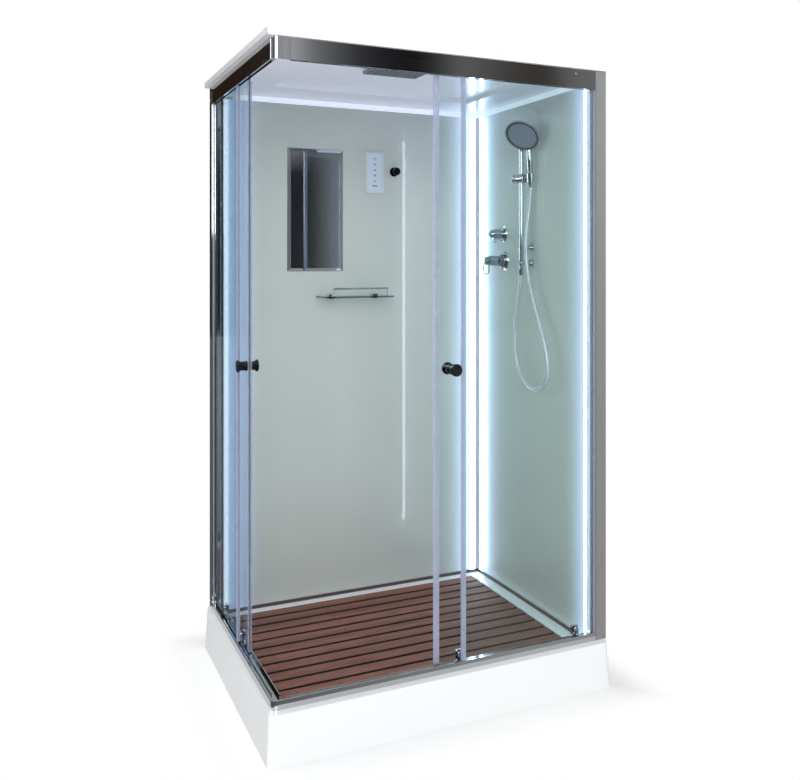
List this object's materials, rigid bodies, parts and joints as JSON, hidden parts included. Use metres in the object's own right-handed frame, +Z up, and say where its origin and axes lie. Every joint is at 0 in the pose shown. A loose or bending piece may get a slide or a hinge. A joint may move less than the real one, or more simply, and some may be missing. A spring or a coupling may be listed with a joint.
{
  "type": "shower cabin",
  "caption": "Rectangular corner-entry shower cabin with tray, slatted deck, two sliding glass doors, glossy walls, lit roof, mirror, shelf, mixer and hand shower on a rail.",
  "frame": {"origin": "centre of the footprint, on the floor", "axes": "+X along the long side, from the open corner to the tap wall; +Y from the glazed front to the back wall; +Z up"},
  "size_m": [1.2, 0.9, 2.15],
  "materials": {
    "chrome": "bright plated",
    "chromed_plastic": "chrome plated",
    "satin_aluminium": "polished anodised",
    "white_gloss": "glossy white",
    "wall_glass": "glossy pale grey-green",
    "clear_glass": "clear toughened",
    "clear_seal": "clear soft plastic",
    "opal_diffuser": "opal, lit from inside",
    "deck_wood": "dark stained, oiled",
    "zinc_steel": "galvanised",
    "rubber": "matte black",
    "grey_plastic": "satin grey",
    "mirror": "silvered glass",
    "hose_silver": "silver-effect smooth hose",
    "brass": "cast",
    "nylon": "white nylon"
  },
  "bodies": {
    "cabin": {"tray": "white_gloss", "tray_frame": "zinc_steel", "leveling_feet": "rubber", "drain_body": "grey_plastic", "drain_grate": "chrome", "top_rail_front": "satin_aluminium", "top_rail_left": "satin_aluminium", "bottom_rail_front": "satin_aluminium", "bottom_rail_left": "satin_aluminium", "corner_blocks": "chrome", "post_right": "satin_aluminium", "post_left": "satin_aluminium", "fixed_glass_front": "clear_glass", "fixed_glass_left": "clear_glass", "fixed_glass_seals": "clear_seal", "back_wall": "wall_glass", "right_wall": "wall_glass", "wall_studs": "zinc_steel", "wall_trims": "satin_aluminium", "light_diffusers": "opal_diffuser", "roof": "white_gloss", "rain_head": "chromed_plastic", "supply_pipes": "grey_plastic", "power_supply": "grey_plastic", "mirror": "mirror", "control_panel": "white_gloss", "robe_hook": "chromed_plastic", "shelf_glass": "clear_glass", "shelf_clamps": "chrome", "shelf_rail": "chrome", "riser_bar": "chrome", "wall_fittings": "chrome", "hose": "hose_silver", "valve_body": "brass", "valve_plates": "chrome"},
    "deck": {"deck_slats": "deck_wood", "deck_bearers": "deck_wood"},
    "front_door": {"front_door_glass": "clear_glass", "front_door_seals": "clear_seal", "front_door_knob": "chrome", "front_door_carriers": "chrome"},
    "front_hanger_wheel_a": {"front_hanger_wheel_a": "nylon"},
    "front_hanger_wheel_b": {"front_hanger_wheel_b": "nylon"},
    "front_guide_wheel_a": {"front_guide_wheel_a": "nylon"},
    "front_guide_wheel_b": {"front_guide_wheel_b": "nylon"},
    "left_door": {"left_door_glass": "clear_glass", "left_door_seals": "clear_seal", "left_door_knob": "chrome", "left_door_carriers": "chrome"},
    "left_hanger_wheel_a": {"left_hanger_wheel_a": "nylon"},
    "left_hanger_wheel_b": {"left_hanger_wheel_b": "nylon"},
    "left_guide_wheel_a": {"left_guide_wheel_a": "nylon"},
    "left_guide_wheel_b": {"left_guide_wheel_b": "nylon"},
    "slider": {"slider": "chromed_plastic"},
    "holder": {"holder": "chromed_plastic"},
    "hand_shower": {"hand_shower": "chromed_plastic", "spray_face": "grey_plastic"},
    "mixer_cap": {"mixer_cap": "chrome"},
    "mixer_lever": {"mixer_lever": "chrome"},
    "diverter": {"diverter_knob": "chrome"}
  },
  "joints": [
    {"name": "front_door_slide", "type": "slide", "parent": "cabin", "child": "front_door", "axis": [-1, 0, 0], "range_m": [0, 0.5]},
    {"name": "left_door_slide", "type": "slide", "parent": "cabin", "child": "left_door", "axis": [0, -1, 0], "range_m": [0, 0.315]},
    {"name": "front_hanger_wheel_a_turn", "type": "hinge", "parent": "front_door", "child": "front_hanger_wheel_a", "pos_m": [0.045, -0.377, 2.0762], "axis": [0, 1, 0], "range_deg": [-3100, 30]},
    {"name": "front_hanger_wheel_b_turn", "type": "hinge", "parent": "front_door", "child": "front_hanger_wheel_b", "pos_m": [0.492, -0.377, 2.0762], "axis": [0, 1, 0], "range_deg": [-3100, 30]},
    {"name": "front_guide_wheel_a_turn", "type": "hinge", "parent": "front_door", "child": "front_guide_wheel_a", "pos_m": [0.045, -0.3796, 0.1633], "axis": [0, 1, 0], "range_deg": [-2900, 30]},
    {"name": "front_guide_wheel_b_turn", "type": "hinge", "parent": "front_door", "child": "front_guide_wheel_b", "pos_m": [0.492, -0.3796, 0.1633], "axis": [0, 1, 0], "range_deg": [-2900, 30]},
    {"name": "left_hanger_wheel_a_turn", "type": "hinge", "parent": "left_door", "child": "left_hanger_wheel_a", "pos_m": [-0.543, 0.05, 2.0762], "axis": [1, 0, 0], "range_deg": [-30, 1950]},
    {"name": "left_hanger_wheel_b_turn", "type": "hinge", "parent": "left_door", "child": "left_hanger_wheel_b", "pos_m": [-0.543, 0.297, 2.0762], "axis": [1, 0, 0], "range_deg": [-30, 1950]},
    {"name": "left_guide_wheel_a_turn", "type": "hinge", "parent": "left_door", "child": "left_guide_wheel_a", "pos_m": [-0.5456, 0.05, 0.1633], "axis": [1, 0, 0], "range_deg": [-30, 1850]},
    {"name": "left_guide_wheel_b_turn", "type": "hinge", "parent": "left_door", "child": "left_guide_wheel_b", "pos_m": [-0.5456, 0.297, 0.1633], "axis": [1, 0, 0], "range_deg": [-30, 1850]},
    {"name": "deck_lift", "type": "slide", "parent": "cabin", "child": "deck", "axis": [0, 0, 1], "range_m": [0, 0.1]},
    {"name": "slider_slide", "type": "slide", "parent": "cabin", "child": "slider", "axis": [0, 0, 1], "range_m": [-0.22, 0.045], "deforming": ["hose"]},
    {"name": "holder_tilt", "type": "hinge", "parent": "slider", "child": "holder", "pos_m": [0.53457, -0.03557, 1.764], "axis": [0.515, -0.8572, 0], "range_deg": [-2, 35], "deforming": ["hose"]},
    {"name": "hand_shower_lift", "type": "slide", "parent": "holder", "child": "hand_shower", "axis": [-0.0896, -0.0538, 0.9945], "range_m": [0, 0.045], "deforming": ["hose"]},
    {"name": "mixer_turn", "type": "hinge", "parent": "cabin", "child": "mixer_cap", "pos_m": [0.5457, 0.206, 1.45], "axis": [1, 0, 0], "range_deg": [-45, 45]},
    {"name": "mixer_lift", "type": "hinge", "parent": "mixer_cap", "child": "mixer_lever", "pos_m": [0.5259, 0.206, 1.45], "axis": [0, 1, 0], "range_deg": [0, 20]},
    {"name": "diverter_turn", "type": "hinge", "parent": "cabin", "child": "diverter", "pos_m": [0.54, 0.21, 1.558], "axis": [1, 0, 0], "range_deg": [-60, 60]}
  ],
  "couplings": [
    {"joint": "front_hanger_wheel_a_turn", "follows": "front_door_slide", "rad_per_m": -105.26},
    {"joint": "front_hanger_wheel_b_turn", "follows": "front_door_slide", "rad_per_m": -105.26},
    {"joint": "front_guide_wheel_a_turn", "follows": "front_door_slide", "rad_per_m": -100},
    {"joint": "front_guide_wheel_b_turn", "follows": "front_door_slide", "rad_per_m": -100},
    {"joint": "left_hanger_wheel_a_turn", "follows": "left_door_slide", "rad_per_m": 105.26},
    {"joint": "left_hanger_wheel_b_turn", "follows": "left_door_slide", "rad_per_m": 105.26},
    {"joint": "left_guide_wheel_a_turn", "follows": "left_door_slide", "rad_per_m": 100},
    {"joint": "left_guide_wheel_b_turn", "follows": "left_door_slide", "rad_per_m": 100}
  ]
}
